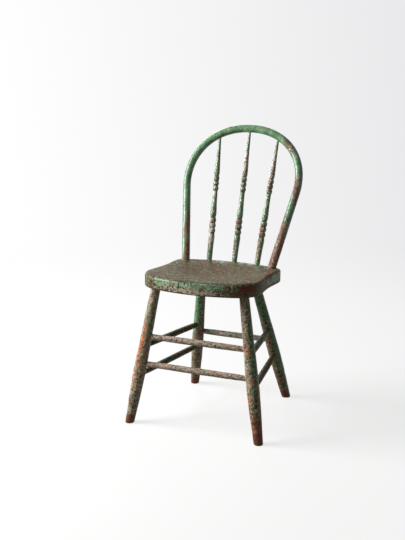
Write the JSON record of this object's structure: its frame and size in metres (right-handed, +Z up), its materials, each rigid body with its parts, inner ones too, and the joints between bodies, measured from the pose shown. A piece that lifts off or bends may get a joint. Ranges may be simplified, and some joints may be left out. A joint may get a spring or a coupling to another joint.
{
  "type": "bow-back side chair",
  "caption": "Wooden bow-back side chair with a plank seat, turned beaded spindles, splayed turned legs and box stretchers, in green paint worn through.",
  "frame": {"origin": "on the floor, under the middle of the whole chair's box", "axes": "+Z up; the chair faces -Y, so +Y is towards the back; +X is to the right as seen from in front"},
  "size_m": [0.4394, 0.4846, 0.8597],
  "materials": {
    "seat_wood": "old green paint worn through to grey-brown wood, satin",
    "bow_paint": "old mint-green gloss paint, worn and chipped",
    "spindle_paint": "old green gloss paint, worn to cream and bare wood on the beads",
    "leg_paint": "green paint worn through to grey-taupe wood with rusty flecks",
    "stretcher_paint": "green paint worn thin over pinkish grey wood",
    "wedge_wood": "bare end-grain wood, matt",
    "brad_iron": "dark rusted iron"
  },
  "bodies": {
    "root": {"seat": "seat_wood", "back_bow": "bow_paint", "spindle_left": "spindle_paint", "spindle_centre": "spindle_paint", "spindle_right": "spindle_paint", "leg_front_left": "leg_paint", "leg_front_right": "leg_paint", "leg_rear_left": "leg_paint", "leg_rear_right": "leg_paint", "stretcher_front_upper": "stretcher_paint", "stretcher_front_lower": "stretcher_paint", "stretcher_left_upper": "stretcher_paint", "stretcher_left_lower": "stretcher_paint", "stretcher_right_upper": "stretcher_paint", "stretcher_right_lower": "stretcher_paint", "stretcher_rear_upper": "stretcher_paint", "bow_wedge_left": "wedge_wood", "bow_wedge_right": "wedge_wood", "brad_left": "brad_iron", "brad_centre": "brad_iron", "brad_right": "brad_iron"}
  },
  "joints": []
}
